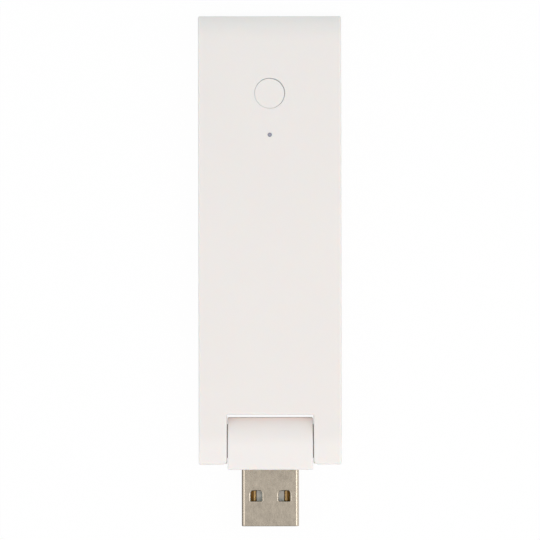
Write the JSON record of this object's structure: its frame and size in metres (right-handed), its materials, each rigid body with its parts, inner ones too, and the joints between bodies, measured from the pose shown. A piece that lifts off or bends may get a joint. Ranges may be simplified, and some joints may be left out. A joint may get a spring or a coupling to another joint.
{
  "type": "smart home usb radio stick",
  "caption": "White smart home radio stick with a USB plug on a friction hinge in a notch, a flush round push button and a small status light.",
  "frame": {"origin": "centre of the footprint at the level of the back face, with the plug straight out", "axes": "+Z out of the front face, +Y along the stick away from the plug, +X to the right seen from the front"},
  "size_m": [0.03, 0.107, 0.0095],
  "materials": {
    "casing_white": "satin moulded plastic",
    "plug_steel": "nickel-plated sheet steel, fine grain",
    "plug_tongue": "moulded plastic",
    "contact_gold": "gold-plated",
    "board_green": "solder mask",
    "shield_tin": "tin-plated sheet",
    "chip_black": "moulded epoxy",
    "ceramic_tan": "ceramic",
    "ferrite_grey": "ferrite",
    "crystal_can": "plated lid",
    "light_clear": "clear moulded acrylic",
    "led_yellow": "phosphor",
    "washer_dark": "dark nylon",
    "hinge_steel": "turned",
    "spring_sheet": "spring sheet",
    "screw_black": "black zinc",
    "antenna_sheet": "tin-plated",
    "pad_blue": "soft silicone",
    "socket_cream": "nylon",
    "cable_jacket": "jacket",
    "wire_red": "insulation",
    "wire_white": "insulation",
    "wire_green": "insulation",
    "wire_black": "insulation"
  },
  "bodies": {
    "stick": {"front_cover": "casing_white", "rear_cover": "casing_white", "main_board": "board_green", "board_screws": "screw_black", "processor_shield": "shield_tin", "processor_chip": "chip_black", "radio_shield": "shield_tin", "radio_chip": "chip_black", "memory_chip": "chip_black", "voltage_regulator": "chip_black", "power_inductor": "ferrite_grey", "capacitors": "ceramic_tan", "resistors": "chip_black", "processor_crystal": "crystal_can", "radio_crystal": "crystal_can", "antenna_left": "antenna_sheet", "antenna_right": "antenna_sheet", "thermal_pad": "pad_blue", "status_led": "led_yellow", "light_guide": "light_clear", "switch_base": "chip_black", "switch_cover_plate": "shield_tin", "switch_dome": "spring_sheet", "board_socket": "socket_cream", "cable_connector": "socket_cream", "hinge_cable": "cable_jacket"},
    "connector": {"head_front": "casing_white", "head_rear": "casing_white", "usb_shell": "plug_steel", "usb_insulator": "plug_tongue", "contact_power": "contact_gold", "contact_data_minus": "contact_gold", "contact_data_plus": "contact_gold", "contact_ground": "contact_gold", "wire_power": "wire_red", "wire_data_minus": "wire_white", "wire_data_plus": "wire_green", "wire_ground": "wire_black", "hinge_pin_left": "hinge_steel", "hinge_pin_right": "hinge_steel", "thrust_washer_left": "washer_dark", "thrust_washer_right": "washer_dark", "spring_washer_left": "spring_sheet", "spring_washer_right": "spring_sheet", "retaining_clip_left": "spring_sheet", "retaining_clip_right": "spring_sheet"},
    "button": {"button_cap": "casing_white", "switch_plunger": "chip_black"}
  },
  "joints": [
    {"name": "plug_hinge", "type": "hinge", "parent": "stick", "child": "connector", "pos_m": [0, -0.03564, 0.00475], "axis": [1, 0, 0], "range_deg": [-90, 90]},
    {"name": "button_press", "type": "slide", "parent": "stick", "child": "button", "axis": [0, 0, -1], "range_m": [0, 0.00025], "stiffness_N_per_m": 4000, "deforming": ["switch_dome"]}
  ]
}
